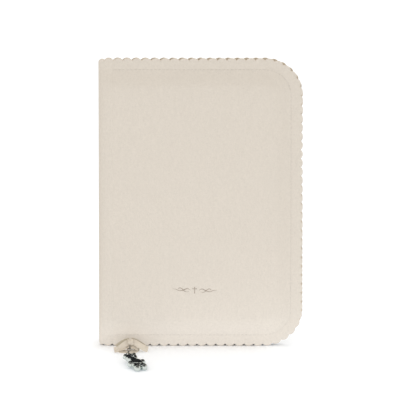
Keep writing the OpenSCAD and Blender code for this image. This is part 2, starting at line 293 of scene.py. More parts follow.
def leatherette_material():
    """Matt cream leatherette: pebble grain, fine creases and a little mottling."""
    mat = plain_material("leatherette", CREAM, 0.58)
    g = Graph(mat)
    g.shader.inputs["Specular IOR Level"].default_value = 0.22
    pebbles = g.cells(1500, "SMOOTH_F1")
    fine = g.noise(3200, 3.0)
    upright = g.noise((900, 900, 400), 3.0)
    sideways = g.noise((420, 420, 800), 2.0)
    mottle = g.noise(38, 3.0)
    creases = g.math("ADD", g.math("MULTIPLY", upright, 0.6), g.math("MULTIPLY", sideways, 0.4))
    tone = g.mix(g.between(creases, 0.34, 0.66), shade(CREAM, 0.955), shade(CREAM, 1.04))
    tone = g.mix(g.between(mottle, 0.35, 0.7, 0.0, 0.35), tone, shade(CREAM, 0.985))
    tone = g.mix(g.between(pebbles, 0.45, 0.75, 0.0, 0.16), tone, shade(CREAM, 0.72))
    g.set("Base Color", tone)
    g.set("Roughness", g.between(fine, 0.3, 0.7, 0.52, 0.66))
    height = g.math("ADD", g.math("MULTIPLY", g.between(pebbles, 0.0, 0.7, 1.0, 0.0), 0.6),
                    g.math("ADD", g.math("MULTIPLY", fine, 0.25), g.math("MULTIPLY", creases, 0.7)))
    g.bump(height, 0.10, 0.8)
    return mat


def backing_material():
    """The fibrous light back and cut edge of the leatherette."""
    mat = plain_material("leatherette_back", BACKING, 0.9)
    g = Graph(mat)
    fibres = g.noise((900, 900, 2400), 4.0, 0.7)
    g.set("Base Color", g.mix(g.between(fibres, 0.3, 0.7), shade(BACKING, 0.8), shade(BACKING, 1.2)))
    g.bump(fibres, 0.08)
    return mat


def thread_material():
    colour = shade(CREAM, 0.95)
    mat = plain_material("thread", colour, 0.55)
    g = Graph(mat)
    g.shader.inputs["Sheen Weight"].default_value = 0.3
    ply = g.waves(0.35, "DIAGONAL")
    g.set("Base Color", g.mix(g.between(ply, 0.2, 0.8), shade(colour, 0.82), shade(colour, 1.08)))
    g.bump(ply, 0.05)
    return mat


def foil_material():
    colour = (0.30, 0.235, 0.18)
    mat = plain_material("foil", colour, 0.42, 0.45)
    g = Graph(mat)
    worn = g.noise(1300, 4.0, 0.65)
    g.set("Base Color", g.mix(g.between(worn, 0.35, 0.75, 0.0, 0.5), colour, shade(CREAM, 0.75)))
    g.set("Roughness", g.between(worn, 0.3, 0.7, 0.34, 0.6))
    g.bump(worn, 0.02)
    return mat


def weave_material(name, colour, threads, roughness=0.85, depth=0.10, contrast=0.22):
    """A plain weave; threads is how many of them there are in a metre."""
    mat = plain_material(name, colour, roughness)
    g = Graph(mat)
    g.shader.inputs["Sheen Weight"].default_value = 0.25
    across, through, weft = (g.waves(1000 / threads, axis, 0.3) for axis in "XYZ")
    warp = g.math("MULTIPLY", g.math("ADD", across, through), 0.6)
    over = g.math("MULTIPLY", warp, weft)
    slub = g.noise((threads / 3, threads / 3, 90), 3.0)
    tone = g.mix(over, shade(colour, 1 - contrast), shade(colour, 1 + contrast / 2))
    tone = g.mix(g.between(slub, 0.4, 0.75, 0.0, 0.4), tone, shade(colour, 0.8))
    g.set("Base Color", tone)
    g.bump(over, depth)
    return mat


def board_material():
    colour = (0.42, 0.36, 0.28)
    mat = plain_material("greyboard", colour, 0.95)
    g = Graph(mat)
    flecks = g.noise(1400, 5.0, 0.75)
    g.set("Base Color", g.mix(g.between(flecks, 0.35, 0.65), shade(colour, 0.75), shade(colour, 1.3)))
    g.bump(flecks, 0.06)
    return mat


def paper_material(name, colour, edge_depth):
    """Cream paper; the lines of its page edges run across the thickness."""
    mat = plain_material(name, colour, 0.88)
    g = Graph(mat)
    normal = g.node("ShaderNodeTexCoord").outputs["Normal"]
    facing = g.math("ABSOLUTE", g.node("ShaderNodeSeparateXYZ", {"Vector": normal}).outputs["Y"])
    edges = g.mix(facing, g.noise((12, 9000, 12), 3.0, 0.7), (0.62, 0.62, 0.62))
    fibre = g.noise(900, 4.0, 0.6)
    tone = g.mix(g.between(edges, 0.32, 0.68), shade(colour, 0.80), shade(colour, 1.03))
    tone = g.mix(g.between(fibre, 0.3, 0.7, 0.0, 0.18), tone, shade(colour, 0.88))
    g.set("Base Color", tone)
    g.bump(g.math("ADD", g.math("MULTIPLY", edges, 0.8), g.math("MULTIPLY", fibre, 0.2)), edge_depth)
    return mat


def satin_material(name, colour):
    """A ribbon with fine ribs across its length."""
    mat = plain_material(name, colour, 0.42)
    g = Graph(mat)
    g.shader.inputs["Sheen Weight"].default_value = 0.35
    g.shader.inputs["Anisotropic"].default_value = 0.4
    ribs = g.waves(0.4, "Z", 0.6)
    soft = g.noise(420, 3.0)
    tone = g.mix(ribs, shade(colour, 0.90), shade(colour, 1.05))
    g.set("Base Color", g.mix(g.between(soft, 0.35, 0.7, 0.0, 0.35), tone, shade(colour, 0.84)))
    g.bump(g.math("ADD", g.math("MULTIPLY", ribs, 0.7), g.math("MULTIPLY", soft, 0.5)), 0.06)
    return mat


def stripe_material():
    """Silk wound round a headband in two colours."""
    dark, light = MARKER_SILK, (0.82, 0.76, 0.62)
    mat = plain_material("band_silk", dark, 0.5)
    g = Graph(mat)
    turns = g.waves(1.2, "Y")
    g.set("Base Color", g.mix(g.between(turns, 0.45, 0.55), dark, light))
    g.bump(g.waves(0.3, "Y"), 0.12)
    return mat


def plastic_material():
    colour = (0.55, 0.44, 0.32)
    mat = plain_material("zip_plastic", colour, 0.4)
    g = Graph(mat)
    cloud = g.noise(500, 3.0)
    g.set("Base Color", g.mix(g.between(cloud, 0.3, 0.7), shade(colour, 0.9), shade(colour, 1.1)))
    g.set("Roughness", g.between(cloud, 0.3, 0.7, 0.32, 0.5))
    return mat


def chrome_material(name, colour, low, high):
    """Polished plating with the finest haze and hairlines."""
    mat = plain_material(name, colour, low, 1.0)
    g = Graph(mat)
    haze = g.noise(350, 4.0, 0.6)
    lines = g.noise((4000, 300, 300), 2.0)
    g.set("Roughness", g.between(haze, 0.35, 0.7, low, high))
    g.set("Base Color", g.mix(g.between(haze, 0.4, 0.8, 0.0, 0.5), colour, shade(colour, 0.82)))
    g.bump(lines, 0.0012, 0.4)
    return mat


# ---------------------------------------------------------------- mesh helpers

def mesh_object(name, verts, faces, materials, slots=None, smooth=True, sharp=35):
    """An object from millimetre points; slots gives each face's material."""
    mesh = bpy.data.meshes.new(name)
    mesh.from_pydata([tuple(c * MM for c in v) for v in verts], [], [tuple(f) for f in faces])
    for mat in materials:
        mesh.materials.append(mat)
    if slots is not None:
        mesh.polygons.foreach_set("material_index", slots)
    mesh.polygons.foreach_set("use_smooth", [smooth] * len(mesh.polygons))
    if smooth:
        mesh.set_sharp_from_angle(angle=math.radians(sharp))
    mesh.update()
    made = bpy.data.objects.new(name, mesh)
    bpy.context.scene.collection.objects.link(made)
    return made


def piece(obj, body, replaces=()):
    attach(obj, body)
    if replaces:
        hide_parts(*replaces)
    return obj


def step(t):
    """Smooth step from 0 to 1."""
    t = max(0.0, min(1.0, t))
    return t * t * (3 - 2 * t)


def spline(points, count, closed=False):
    """Points along a Catmull-Rom curve through the given ones, which may have any number of columns."""
    p = [np.array(q, float) for q in points]
    n = len(p)
    spans = n if closed else n - 1
    out = []
    for k in range(count + (0 if closed else 1)):
        t = k / count * spans
        i = min(int(t), spans - 1)
        f = t - i
        a, b, c, d = (p[(i + j) % n] if closed else p[max(0, min(n - 1, i + j))] for j in (-1, 0, 1, 2))
        out.append(0.5 * (2 * b + (c - a) * f + (2 * a - 5 * b + 4 * c - d) * f * f
                          + (3 * b - a - 3 * c + d) * f ** 3))
    return out


def sweep(points, widths, profile, closed=False, scales=None):
    """Verts and faces of a profile carried along points.

    widths holds the direction of the profile's first axis at each point; its second is the normal."""
    n, m = len(points), len(profile)
    verts = []
    for i, p in enumerate(points):
        before = points[i - 1] if i or closed else p
        after = points[(i + 1) % n] if i < n - 1 or closed else p
        tangent = Vector(np.array(after, float) - np.array(before, float)).normalized()
        wide = Vector(widths[i])
        wide = (wide - tangent * wide.dot(tangent)).normalized()
        normal = tangent.cross(wide)
        s = scales[i] if scales else 1.0
        verts += [Vector(p) + wide * a * s + normal * b for a, b in profile]
    faces = []
    for i in range(n if closed else n - 1):
        j = (i + 1) % n
        faces += [(i * m + k, j * m + k, j * m + (k + 1) % m, i * m + (k + 1) % m) for k in range(m)]
    if not closed:
        faces += [tuple(range(m)), tuple(range((n - 1) * m, n * m))[::-1]]
    return verts, faces


def round_profile(radius, sides=12):
    return [(radius * math.cos(2 * math.pi * k / sides), radius * math.sin(2 * math.pi * k / sides))
            for k in range(sides)]


def strip_profile(width, thick, cup=0.0, across=6):
    """A ribbon's cross-section, hollowed by cup at its middle."""
    half = [(-width / 2 + width * k / across, cup * (1 - (2 * k / across - 1) ** 2))
            for k in range(across + 1)]
    return [(a, b - thick / 2) for a, b in half] + [(a, b + thick / 2) for a, b in half[::-1]]


def mirrored(verts, faces):
    """The same mesh on the back cover's side."""
    return [(x, -y, z) for x, y, z in verts], [f[::-1] for f in faces]


def joined(parts):
    """One list of verts and one of faces from several."""
    verts, faces = [], []
    for v, f in parts:
        faces += [tuple(i + len(verts) for i in face) for face in f]
        verts += list(v)
    return verts, faces


def ball(radii, rings=6, sides=8):
    """A low ellipsoid, for stitches, teeth and beads."""
    verts = [(0, 0, radii[2])]
    for i in range(1, rings):
        a = math.pi * i / rings
        verts += [(radii[0] * math.sin(a) * math.cos(2 * math.pi * k / sides),
                   radii[1] * math.sin(a) * math.sin(2 * math.pi * k / sides),
                   radii[2] * math.cos(a)) for k in range(sides)]
    verts.append((0, 0, -radii[2]))
    faces = [(0, 1 + k, 1 + (k + 1) % sides) for k in range(sides)]
    for i in range(rings - 2):
        a = 1 + i * sides
        faces += [(a + k, a + sides + k, a + sides + (k + 1) % sides, a + (k + 1) % sides)
                  for k in range(sides)]
    last, a = len(verts) - 1, 1 + (rings - 2) * sides
    faces += [(last, a + (k + 1) % sides, a + k) for k in range(sides)]
    return verts, faces


def scattered(template, places):
    """Copies of a template, each with a 4x4 matrix."""
    verts, faces = template
    return joined([([m @ Vector(v) for v in verts], faces) for m in places])


# ---------------------------------------------------------------- the cover's flat pattern

def corner_path(inset, u0, gap):
    """Points inside the tips by inset, from the head at u0 round to the tail at u0."""
    r = CORNER_R - inset
    cx = COVER_W - CORNER_R
    runs = [u for u in pattern_columns() if u0 < u < cx - 1]
    arc = max(4, round(math.pi / 2 * r / gap))
    turn = [(math.cos(math.pi / 2 * k / arc), math.sin(math.pi / 2 * k / arc)) for k in range(arc + 1)]
    down = max(4, round((COVER_H - 2 * CORNER_R) / gap))
    head = [(u, COVER_H - inset) for u in [u0, *runs]]
    head += [(cx + r * s, COVER_H - CORNER_R + r * c) for c, s in turn]
    side = [(COVER_W - inset, COVER_H - CORNER_R - (COVER_H - 2 * CORNER_R) * k / down)
            for k in range(1, down)]
    tail = [(cx + r * c, CORNER_R - r * s) for c, s in turn]
    tail += [(u, inset) for u in [*runs[::-1], u0]]
    return head + side + tail


def pattern_columns():
    """Where the columns of the pattern stand: close together on the roll and at the fold."""
    cols = list(np.arange(SPINE_U, 8.0, 0.9))
    cols += list(np.arange(8.4, 12.3, 0.4))
    cols += list(np.arange(13.2, 24, 1.8))
    cols += list(np.arange(26, COVER_W - CORNER_R, COLUMN_GAP))
    return cols


def rim_runs(inset, head_x, tail_x):
    """Lengths of the rim's stretches, inset from the tips: head, corner, fore-edge, corner, tail."""
    straight, quarter = COVER_W - CORNER_R, math.pi * (CORNER_R - inset) / 2
    return straight - head_x, quarter, COVER_H - 2 * CORNER_R, quarter, straight - tail_x


def rim_place(s, inset, head_x, tail_x):
    """The point at length s along the rim, and its outward direction in degrees."""
    cx, r = COVER_W - CORNER_R, CORNER_R - inset
    stretch = 0
    for run in rim_runs(inset, head_x, tail_x)[:4]:
        if s < run:
            break
        s -= run
        stretch += 1
    if stretch == 0:
        return (head_x + s, COVER_H - inset), 90.0
    if stretch == 2:
        return (COVER_W - inset, COVER_H - CORNER_R - s), 0.0
    if stretch == 4:
        return (cx - s, inset), -90.0
    cz, start = (COVER_H - CORNER_R, 90) if stretch == 1 else (CORNER_R, 0)
    a = math.radians(start) - s / r
    return (cx + r * math.cos(a), cz + r * math.sin(a)), math.degrees(a)


def along_rim(inset, pitch, x0):
    """Places along the rim at a fixed pitch, each with its outward direction."""
    count = int(sum(rim_runs(inset, x0, x0)) / pitch)
    return [rim_place((k + 0.5) * pitch, inset, x0, x0) for k in range(count)]


def unrolled(x):
    """The place in the flat pattern of a point seen at x on the roll."""
    if x >= SPINE_D:
        return x
    return SPINE_D - ROLL_L * math.asin(min(1.0, (SPINE_D - x) / SPINE_D)) * 2 / math.pi


def scallop(x, z, out, chord, points=9):
    """One scallop's arc, from its first notch; out is its outward direction in degrees."""
    r = (chord * chord / 4 + SCALLOP_DEPTH ** 2) / (2 * SCALLOP_DEPTH)
    half = math.asin(min(1, chord / 2 / r))
    a0 = math.radians(out)
    cx, cz = x - (r - SCALLOP_DEPTH) * math.cos(a0), z - (r - SCALLOP_DEPTH) * math.sin(a0)
    arc = []
    for k in range(points):
        a = a0 + half - 2 * half * k / points
        arc.append((cx + r * math.cos(a), cz + r * math.sin(a)))
    return arc


def scalloped_outline(count):
    """The cover's cut edge from the spine's middle line at the head round to the same line at the tail."""
    notches = (SCALLOP_DEPTH, HEAD_NOTCH_X, TAIL_NOTCH_X)
    pitch = sum(rim_runs(*notches)) / count
    edge = scallop(HEAD_NOTCH_X / 2, COVER_H - SCALLOP_DEPTH, 90, HEAD_NOTCH_X)
    for i in range(count):
        (x, z), out = rim_place((i + 0.5) * pitch, *notches)
        edge += scallop(x, z, out, pitch)
    edge += scallop(TAIL_NOTCH_X / 2, SCALLOP_DEPTH, -90, TAIL_NOTCH_X)
    edge.append((0.0, SCALLOP_DEPTH))
    return [(unrolled(max(0.0, x)), z) for x, z in edge]


def inset_of(u, z):
    """How far a point lies inside the tips' outline."""
    cx = COVER_W - CORNER_R
    dz = max(z - (COVER_H - CORNER_R), CORNER_R - z)
    if u > cx and dz > 0:
        return CORNER_R - math.hypot(u - cx, dz)
    return min(COVER_W - u, z, COVER_H - z)


def level(inset, low, high, start, width):
    """A height that rises from low to high as the inset grows."""
    return low + (high - low) * step((inset - start) / width)


def groove(at, middle, width):
    """The share of a groove's depth at a place beside its middle line."""
    return math.exp(-((at - middle) / width) ** 2)


def waviness(u, z, length, seed):
    return noise.noise(Vector((u / length, z / length, seed)))


def outer_y(u, z):
    """Distance of the cover's outer face from the mid-plane."""
    inset = inset_of(u, z)
    bulge = level(inset, RIM_Y, HALF_T, BULGE_START, BULGE_W) - OUTER_PLAY
    swell = 0.22 * waviness(u, z, 55, 3.0) * step((inset - 20) / 20)
    ripple = 0.10 * waviness(u, z, 9, 9.0) * step((8 - inset) / 5) * step((u - 14) / 6)
    seam = 0.10 * groove(inset, STITCH_INSET, 0.8) * step((u - STITCH_START) / 3)
    fold = 0.30 * groove(u, FOLD_U, 1.1)
    return bulge + swell + ripple - seam - fold


def cover_point(u, z, depth, drop):
    """A point of the flat pattern laid on the front half, depth under its outer face.

    The roll is cut a little short at both ends; drop lowers the head edge away from the spine."""
    roll = step((8 - u) / 10)
    z += roll * (ROLL_RISE * (1 - z / COVER_H) - ROLL_DROP * z / COVER_H)
    z -= drop * step((u - SPINE_U) / 5) * step((z - 120) / 100)
    if u >= SPINE_D:
        return (u, -(outer_y(u, z) - depth), z)
    a = (SPINE_D - u) / ROLL_L * math.pi / 2
    half = outer_y(SPINE_D, z)
    return (SPINE_D - (SPINE_D - depth) * math.sin(a), -(half - depth) * math.cos(a), z)


def shell(outline, inside, surfaces, flip):
    """Verts, faces and face kinds (0 outer, 1 inner or edge) of a sheet with two faces.

    outline runs clockwise; surfaces are the functions that lay its outer and inner face."""
    flat = [Vector(p) for p in outline[::-1] + inside]
    border = [list(range(len(outline)))]
    points, _, tris, *_ = delaunay_2d_cdt(flat, [], border, 1, 1e-5)
    verts = [f(p[0], p[1], i) for f in surfaces for i, p in enumerate(points)]
    k = len(points)
    sides = dict.fromkeys((a, b) for t in tris for a, b in zip(t, t[1:] + t[:1]))
    edge = [(a, b) for a, b in sides if (b, a) not in sides]
    faces = [tuple(t) for t in tris] + [tuple(i + k for i in t[::-1]) for t in tris]
    faces += [(b, a, a + k, b + k) for a, b in edge]
    kinds = [0] * len(tris) + [1] * (len(tris) + len(edge))
    if flip:
        verts, faces = mirrored(verts, faces)
    return verts, faces, kinds


def rings_from(first_inset):
    """Insets of the rings of points: closest beside the stitches, wider over the bulge."""
    rings = [2.7, 4.2, 5.8, 7.2, STITCH_INSET - 1, STITCH_INSET, STITCH_INSET + 1, 11.4, 12.2]
    rings += [*np.arange(13.5, 24.5, 1.5), 27]
    return [inset for inset in rings if inset > first_inset]


def grid_rows():
    return np.arange(GRID_INSET, COVER_H - GRID_INSET + 1, ROW_GAP)


def straight_edge(u0, first_inset):
    """Points up the sheet's straight edge at u0, from the tail to the head."""
    rings = rings_from(first_inset)
    return [(u0, z) for z in [*rings, *grid_rows(), *(COVER_H - inset for inset in rings[::-1])]]


def pattern_inside(u0, first_inset):
    """Points that carry the sheet's shape: rings along the rim, then a grid."""
    points = []
    for inset in rings_from(first_inset):
        points += corner_path(inset, u0 + 0.4, RIM_GAP)
    for u in pattern_columns():
        if u > u0 + 0.5:
            points += [(u, z) for z in grid_rows()]
    for u in np.arange(COVER_W - CORNER_R, COVER_W - GRID_INSET + 1, COLUMN_GAP):
        points += [(u, z) for z in grid_rows() if inset_of(u, z) > GRID_INSET - 1.5]
    return points


def make_cover(side, count, drop, materials):
    """One half of the leatherette, from the spine's middle line to the fore-edge."""
    edge = scalloped_outline(count)
    spine_line = straight_edge(SPINE_U, SCALLOP_DEPTH)
    rim = len(edge) + len(spine_line)

    def outer(u, z, i):
        softened = EDGE_ROUND if i < rim and u > SPINE_U + 0.01 else 0.0
        return cover_point(u, z, softened, drop)

    def inner(u, z, _):
        return cover_point(u, z, SKIN_T, drop)

    verts, faces, kinds = shell(edge + spine_line, pattern_inside(SPINE_U, 0), (outer, inner), side == "back")
    obj = mesh_object(f"{side}_leatherette", verts, faces, materials, kinds)
    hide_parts(f"{side}_cover_skin", "spine_skin")
    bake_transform(obj)


def make_lining(side, mat):
    """The cloth lining, glued to the board and sewn at the rim."""
    low, high = RIM_Y - SKIN_T, HALF_T - SKIN_T - BOARD_T

    def layer(depth):
        def lay(u, z, _):
            return (u, depth - level(inset_of(u, z), low, high, FLANGE_W, SLOPE_W + 2), z)
        return lay

    first = LINING_INSET + 0.5
    outline = corner_path(LINING_INSET, LINING_U, RIM_GAP) + straight_edge(LINING_U, first)
    skins = (layer(0), layer(LINING_T))
    verts, faces, _ = shell(outline, pattern_inside(LINING_U, first), skins, side == "back")
    cloth = mesh_object(f"{side}_lining_cloth", verts, faces, [mat])
    piece(cloth, f"{side}_cover", [f"{side}_lining"])


def make_spine_lining(mat):
    """The cloth strip inside the roll, from one fold round to the other."""
    columns = [u for u in pattern_columns() if u < SPINE_D - 0.3] + [SPINE_D - 0.3]
    rows = np.arange(3.0, COVER_H - 4.5, 3.0)
    under = SKIN_T + 0.02

    def layer(depth):
        front = [[cover_point(u, z, depth, 0.0) for z in rows] for u in columns]
        back = [[(x, -y, z) for x, y, z in line] for line in front]
        return front[:0:-1] + back

    lines = [layer(under), layer(under + LINING_T)]
    n, m = len(lines[0]), len(rows)
    verts = [p for line in lines for column in line for p in column]

    def quads(at, flip):
        made = [(at + i * m + k, at + (i + 1) * m + k, at + (i + 1) * m + k + 1, at + i * m + k + 1)
                for i in range(n - 1) for k in range(m - 1)]
        return [q[::-1] for q in made] if flip else made

    rim = [i * m for i in range(n)] + [(n - 1) * m + k for k in range(1, m)]
    rim += [i * m + m - 1 for i in range(n - 2, -1, -1)] + list(range(m - 2, 0, -1))
    edge = [(a, b, b + n * m, a + n * m) for a, b in zip(rim, rim[1:] + rim[:1])]
    obj = mesh_object("spine_lining_cloth", verts, quads(0, True) + quads(n * m, False) + edge, [mat])
    piece(obj, "spine", ["spine_lining"])


# ---------------------------------------------------------------- stitches, zip and ornament

def rim_matrix(u, y, z, out, tilt=0.0):
    """Local X along the rim, local Z away from the mid-plane on the front side."""
    a = math.radians(out)
    along = Vector((math.sin(a), 0, -math.cos(a)))
    up = Vector((0, -1, 0))
    across = up.cross(along)
    turn = Matrix((along, across, up)).transposed().to_4x4()
    return Matrix.Translation((u, y, z)) @ turn @ Matrix.Rotation(tilt, 4, "Z")


def make_stitching(side, drop, mat):
    """Lock stitches, each a little slanted and sunk at its ends."""
    places = []
    for k, ((u, z), out) in enumerate(along_rim(STITCH_INSET, STITCH_PITCH, STITCH_START + 0.2)):
        x, y, z = cover_point(u, z, 0.0, drop)
        places.append(rim_matrix(x, y - 0.02, z, out, 0.07 + 0.05 * math.sin(k * 2.4)))
    verts, faces = scattered(ball((1.32, 0.32, 0.16), 6, 8), places)
    if side == "back":
        verts, faces = mirrored(verts, faces)
    piece(mesh_object(f"{side}_stitching", verts, faces, [mat], sharp=80), f"{side}_cover")


def make_teeth(side, mat):
    """The coil's turns; the two rows stand half a turn apart, so they mesh."""
    pitch = 1.3
    places = []
    for (u, z), out in along_rim(COIL_INSET, pitch, TAPE_X + 0.2):
        shift = pitch / 4 if side == "back" else -pitch / 4
        a = math.radians(out)
        places.append(rim_matrix(u + math.sin(a) * shift, -COIL_Y, z - math.cos(a) * shift, out, 0.12))
    turn = sweep(spline([(0.0, -0.42, 0.62), (0.05, 0.42, 0.55), (0.0, 0.46, -0.60), (-0.05, 0.1, -0.95),
                         (0.0, -0.40, -0.60)], 10, True),
                 [(1, 0, 0)] * 10, round_profile(0.2, 5), True)
    verts, faces = scattered(turn, places)
    if side == "back":
        verts, faces = mirrored(verts, faces)
    piece(mesh_object(f"{side}_zip_turns", verts, faces, [mat], sharp=80), f"{side}_cover",
          [f"{side}_zip_coil"])


def flat_stroke(points, width, thick=0.07):
    """A stroke of foil on the front cover; points are (x, z) and a share of the width."""
    last, sunk = 26, 0.02
    line = spline(points, last)
    spots = [(x, -outer_y(x, z) - thick / 2 + sunk, z) for x, z, _ in line]
    ahead = [line[min(i + 1, last)] - line[max(i - 1, 0)] for i in range(last + 1)]
    half, deep = width / 2, thick / 2
    return sweep(spots, [(-a[1], 0, a[0]) for a in ahead],
                 [(-half, -deep), (half, -deep), (half, deep), (-half, deep)],
                 scales=[max(0.12, share) for _, _, share in line])


def make_ornament(mat):
    """A small cross between two flourishes, where the cover carries its foil."""
    cx, cz, slope = 79.0, 50.3, -0.035
    stem, arm, arm_z = 0.62, 1.9, cz + 1.1
    parts = [flat_stroke([(cx, cz - 3.0, 1.2), (cx, cz - 1.5, 0.9), (cx, cz + 1.4, 0.9), (cx, cz + 2.8, 1.2)],
                         stem),
             flat_stroke([(cx - arm, arm_z, 1.2), (cx - 0.8, arm_z, 0.9), (cx + 0.8, arm_z, 0.9),
                          (cx + arm, arm_z, 1.2)], stem)]
    for side in (-1, 1):
        def spot(dx, dz, w):
            return (cx + side * dx, cz + dz + side * dx * slope, w)
        parts.append(flat_stroke([spot(3.4, -0.2, 0.2), spot(6.2, 1.15, 0.9), spot(9.4, -0.35, 1.0),
                                  spot(12.6, -1.0, 0.7), spot(15.4, 0.2, 0.55), spot(18.4, 0.5, 0.15)], 0.66))
        parts.append(flat_stroke([spot(4.6, -1.5, 0.15), spot(7.6, -1.7, 0.7), spot(10.2, 0.6, 0.95),
                                  spot(12.2, 1.6, 0.8), spot(13.4, 0.9, 0.6), spot(12.4, 0.3, 0.3)], 0.55))
    verts, faces = joined(parts)
    piece(mesh_object("foil_ornament", verts, faces, [mat], smooth=False), "front_cover")


def bevelled(obj, width):
    """Rounds an object's sharp edges in its mesh."""
    bm = bmesh.new()
    bm.from_mesh(obj.data)
    edges = [e for e in bm.edges if e.is_manifold and e.calc_face_angle(0) > 0.5]
    bmesh.ops.bevel(bm, geom=edges, offset=width * MM, segments=3, affect="EDGES", profile=0.5,
                    clamp_overlap=True)
    bm.to_mesh(obj.data)
    bm.free()
    obj.data.polygons.foreach_set("use_smooth", [True] * len(obj.data.polygons))
    obj.data.set_sharp_from_angle(angle=math.radians(50))
    return obj


def make_slider(mat):
    """Two shield-shaped plates, the post between them and the bail under the outer one."""
    x0, half, plate = PULL_X - 4.0, 1.3, 1.1
    outline = [(0, 0.75), (1.2, 1.0), (2.6, 1.0), (4.2, 0.82), (6.6, 0.78), (7.6, 0.7), (8.0, 0.4)]
    outline = [(x0 + x, y * half) for x, y in outline]
    ring = outline + [(x, -y) for x, y in outline[::-1]]
    n = len(ring)
    for name, z in (("zip_slider_outer", 3.4), ("zip_slider_inner", 6.6)):
        verts = [(x, y, z) for x, y in ring] + [(x, y, z + plate) for x, y in ring]
        faces = [tuple(range(n)), tuple(range(2 * n - 1, n - 1, -1))]
        faces += [((i + 1) % n, i, i + n, (i + 1) % n + n) for i in range(n)]
        part = bevelled(mesh_object(name, verts, faces, [mat]), 0.28)
        piece(part, "slider", ["zip_slider"] if name == "zip_slider_outer" else [])
    post = sweep([(x0 + 2.4, 0, z) for z in (4.3, 4.7, 5.5, 6.3, 6.8)], [(1, 0, 0)] * 5,
                 [(1.5 * math.cos(a), 0.3 * math.sin(a)) for a in np.linspace(0, 2 * math.pi, 16, False)],
                 scales=[1.0, 0.92, 0.88, 0.92, 1.0])
    piece(mesh_object("zip_slider_post", *post, [mat]), "slider")
    leg = [(-2.45, 3.75), (-2.45, 2.2), (-2.33, BAR_Z + 0.35), (-1.65, BAR_Z)]
    half_bail = [(PULL_X + x, 0, z) for x, z in leg]
    other_half = [(PULL_X - x, 0, z) for x, z in leg[::-1]]
    bail = spline([*half_bail, (PULL_X, 0, BAR_Z), *other_half], 48)
    wire = sweep(bail, [(0, 1, 0)] * len(bail), round_profile(BAIL_WIRE / 2))
    piece(mesh_object("zip_bail", *wire, [mat]), "slider")


# ---------------------------------------------------------------- bow, chain and bear

def ribbon(name, points, widths, mat, width, closed=False, count=44, cup=0.25, thick=0.34):
    """A length of ribbon through points; widths gives its width direction at each of them."""
    line = spline(points, count, closed)
    wide = spline(widths, count, closed)
    verts, faces = sweep(line, wide, strip_profile(width, thick, cup), closed)
    return piece(mesh_object(name, verts, faces, [mat], sharp=60), "pull")


def at_knot(points, side=1):
    """Points given by their distance beside the knot, to the right or, with side -1, to the left."""
    return [(KNOT.x + side * dx, y, z) for dx, y, z in points]


def round_bar(angles):
    """Points round the bail's bar."""
    return [(PULL_X, STRAND_R * math.cos(a), BAR_Z + STRAND_R * math.sin(a)) for a in angles]


def make_bow_ends(mat):
    """The two cut ends, which hang in front."""
    up = (0.0, 0.34, 0.94)
    right = at_knot([(0.6, -18.9, 9.5), (4.0, -19.5, 8.5), (8.6, -19.4, 5.5), (12.2, -18.8, 3.2),
                     (14.6, -18.9, 2.5)])
    end = ribbon("bow_right_end", right, [(0.2, 0.30, 0.93), up, (0.15, 0.3, 0.94), up, (0.05, 0.25, 0.97)],
                 mat, 4.9)
    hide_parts("ribbon_bow")
    left = at_knot([(0.6, -18.9, 9.3), (3.4, -19.6, 8.0), (7.4, -20.0, 5.0), (10.6, -19.6, 2.9),
                    (13.4, -20.0, 2.5)], -1)
    ribbon("bow_left_end", left, [(-0.2, 0.30, 0.93), up, (-0.2, 0.3, 0.93), up, (0.0, 0.45, 0.9)], mat, 4.7)


def make_bow_loops(mat, shaded_ribbon):
    """The flat loop under the knot, the folds over it and the loops' backs; the folds and backs wear a darker
    copy of the ribbon, painted shade.
    """
    up, leaning = (0.0, 0.34, 0.94), (0.0, 0.85, 0.5)
    loop = at_knot([(-0.4, -20.3, 5.6), (-4.6, -20.5, 4.4), (-8.6, -20.8, 3.0), (-9.2, -21.0, 1.9),
                    (-5.6, -21.3, 1.5), (0, -21.4, 1.4), (4.0, -21.2, 1.6), (5.8, -20.9, 2.6),
                    (4.0, -20.6, 4.4), (0.8, -20.3, 5.6)])
    ribbon("bow_lower_loop", loop, [leaning] * 10, mat, 3.4, count=72, cup=0.15)
    left_fold = at_knot([(0.4, -18.3, 6.4), (3.0, -18.6, 5.2), (6.2, -18.9, 3.9), (9.6, -18.7, 2.8)], -1)
    ribbon("bow_left_fold", left_fold, [up] * 4, shaded_ribbon, 4.0, cup=-0.3)
    right_fold = at_knot([(0.4, -18.3, 6.4), (2.6, -18.6, 4.9), (5.0, -18.8, 3.4), (7.6, -18.6, 2.6)])
    ribbon("bow_right_fold", right_fold, [up] * 4, shaded_ribbon, 4.0, cup=-0.3)
    back = [(0.8, -17.4, 9.9), (4.2, -17.2, 8.9), (8.4, -17.3, 6.3), (11.4, -17.6, 4.2)]
    for side, name in ((-1, "bow_left_back"), (1, "bow_right_back")):
        ribbon(name, at_knot(back, side), [up] * 4, shaded_ribbon, 4.2, cup=-0.2)


def make_knot(mat):
    """A band of ribbon wound once round the bow's middle."""
    turn = np.linspace(0, 2 * math.pi, 10, False)
    y, z = KNOT.y - 0.2, KNOT.z + 0.2
    ring = [(KNOT.x + 0.25 * math.sin(3 * a), y + 2.0 * math.cos(a), z + 2.7 * math.sin(a)) for a in turn]
    widths = [(1, 0.05 * math.cos(2 * a), 0.1) for a in turn]
    ribbon("bow_knot", ring, widths, mat, 4.6, closed=True, cup=-0.35, thick=0.6)


